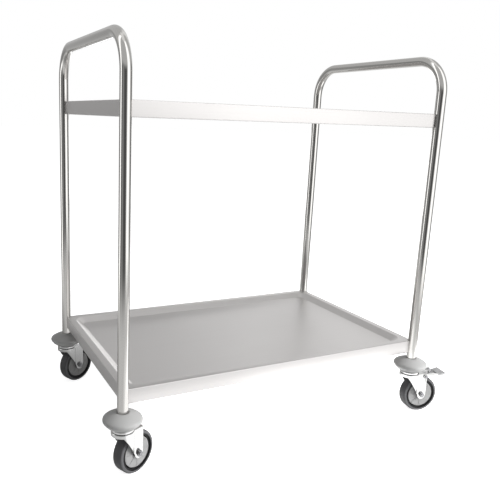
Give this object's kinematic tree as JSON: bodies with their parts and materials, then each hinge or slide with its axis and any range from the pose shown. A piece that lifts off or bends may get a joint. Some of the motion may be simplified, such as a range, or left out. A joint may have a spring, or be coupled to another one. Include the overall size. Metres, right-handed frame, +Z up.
{
  "type": "serving cart",
  "caption": "Tiered stainless steel serving cart with round-tube push handles, pressed trays, corner bumpers, swivel casters and foot brakes.",
  "frame": {"origin": "on the floor, below the middle of the cart's outer box", "axes": "+X along the trays towards the end with the foot brakes, +Y across them, +Z up"},
  "size_m": [0.9821, 0.6051, 0.96],
  "materials": {
    "polished_tube": "polished stainless tube",
    "tray_sheet": "fine brushed stainless sheet, brightly rolled",
    "plated_steel": "bright zinc plating",
    "bearing_steel": "polished",
    "grey_bumper": "moulded, finely grained",
    "grey_rubber": "matt, non-marking",
    "dark_core": "moulded",
    "cover_plastic": "satin",
    "pedal_plastic": "moulded, with grip lines"
  },
  "bodies": {
    "frame": {"left_handle_frame": "polished_tube", "right_handle_frame": "polished_tube", "lower_tray": "tray_sheet", "upper_tray": "tray_sheet", "lower_tray_stiffener": "tray_sheet", "upper_tray_stiffener": "tray_sheet", "tray_corner_plates": "plated_steel", "tray_bolts": "plated_steel", "tray_bolt_washers": "plated_steel", "leg_thread_inserts": "plated_steel", "leg_end_plugs": "plated_steel", "front_left_bumper": "grey_bumper", "front_left_caster_stem": "plated_steel", "front_left_swivel_cup": "plated_steel", "front_right_bumper": "grey_bumper", "front_right_caster_stem": "plated_steel", "front_right_swivel_cup": "plated_steel", "back_left_bumper": "grey_bumper", "back_left_caster_stem": "plated_steel", "back_left_swivel_cup": "plated_steel", "back_right_bumper": "grey_bumper", "back_right_caster_stem": "plated_steel", "back_right_swivel_cup": "plated_steel"},
    "front_left_caster": {"front_left_fork": "plated_steel", "front_left_swivel_balls": "bearing_steel", "front_left_axle_sleeve": "plated_steel", "front_left_axle_bolt": "plated_steel"},
    "front_left_wheel": {"front_left_tyre": "grey_rubber", "front_left_wheel_core": "dark_core", "front_left_wheel_covers": "cover_plastic"},
    "front_right_caster": {"front_right_fork": "plated_steel", "front_right_swivel_balls": "bearing_steel", "front_right_axle_sleeve": "plated_steel", "front_right_axle_bolt": "plated_steel", "front_right_brake_pin": "plated_steel"},
    "front_right_wheel": {"front_right_tyre": "grey_rubber", "front_right_wheel_core": "dark_core", "front_right_wheel_covers": "cover_plastic"},
    "front_right_brake": {"front_right_brake_lever": "plated_steel", "front_right_brake_pedal": "pedal_plastic", "front_right_brake_spring": "bearing_steel"},
    "back_left_caster": {"back_left_fork": "plated_steel", "back_left_swivel_balls": "bearing_steel", "back_left_axle_sleeve": "plated_steel", "back_left_axle_bolt": "plated_steel"},
    "back_left_wheel": {"back_left_tyre": "grey_rubber", "back_left_wheel_core": "dark_core", "back_left_wheel_covers": "cover_plastic"},
    "back_right_caster": {"back_right_fork": "plated_steel", "back_right_swivel_balls": "bearing_steel", "back_right_axle_sleeve": "plated_steel", "back_right_axle_bolt": "plated_steel", "back_right_brake_pin": "plated_steel"},
    "back_right_wheel": {"back_right_tyre": "grey_rubber", "back_right_wheel_core": "dark_core", "back_right_wheel_covers": "cover_plastic"},
    "back_right_brake": {"back_right_brake_lever": "plated_steel", "back_right_brake_pedal": "pedal_plastic", "back_right_brake_spring": "bearing_steel"}
  },
  "joints": [
    {"name": "front_left_swivel", "type": "hinge", "parent": "frame", "child": "front_left_caster", "pos_m": [-0.446, -0.2575, 0.112], "axis": [0, 0, 1], "continuous": true},
    {"name": "front_left_wheel_spin", "type": "hinge", "parent": "front_left_caster", "child": "front_left_wheel", "pos_m": [-0.4159, -0.24397, 0.05], "axis": [-0.4099, 0.9121, 0], "continuous": true},
    {"name": "front_right_swivel", "type": "hinge", "parent": "frame", "child": "front_right_caster", "pos_m": [0.389, -0.2575, 0.112], "axis": [0, 0, 1], "continuous": true},
    {"name": "front_right_wheel_spin", "type": "hinge", "parent": "front_right_caster", "child": "front_right_wheel", "pos_m": [0.42119, -0.26475, 0.05], "axis": [0.2198, 0.9755, 0], "continuous": true},
    {"name": "front_right_brake_press", "type": "hinge", "parent": "front_right_caster", "child": "front_right_brake", "pos_m": [0.429, -0.26651, 0.1035], "axis": [0.2198, 0.9755, 0], "range_deg": [0, 8], "stiffness_Nm_per_rad": 2, "springref_deg": -5.73},
    {"name": "back_left_swivel", "type": "hinge", "parent": "frame", "child": "back_left_caster", "pos_m": [-0.446, 0.2575, 0.112], "axis": [0, 0, 1], "continuous": true},
    {"name": "back_left_wheel_spin", "type": "hinge", "parent": "back_left_caster", "child": "back_left_wheel", "pos_m": [-0.416, 0.27124, 0.05], "axis": [-0.4163, 0.9092, 0], "continuous": true},
    {"name": "back_right_swivel", "type": "hinge", "parent": "frame", "child": "back_right_caster", "pos_m": [0.389, 0.2575, 0.112], "axis": [0, 0, 1], "continuous": true},
    {"name": "back_right_wheel_spin", "type": "hinge", "parent": "back_right_caster", "child": "back_right_wheel", "pos_m": [0.42168, 0.26209, 0.05], "axis": [-0.1392, 0.9903, 0], "continuous": true},
    {"name": "back_right_brake_press", "type": "hinge", "parent": "back_right_caster", "child": "back_right_brake", "pos_m": [0.4296, 0.26321, 0.1035], "axis": [-0.1392, 0.9903, 0], "range_deg": [0, 8], "stiffness_Nm_per_rad": 2, "springref_deg": -5.73}
  ]
}
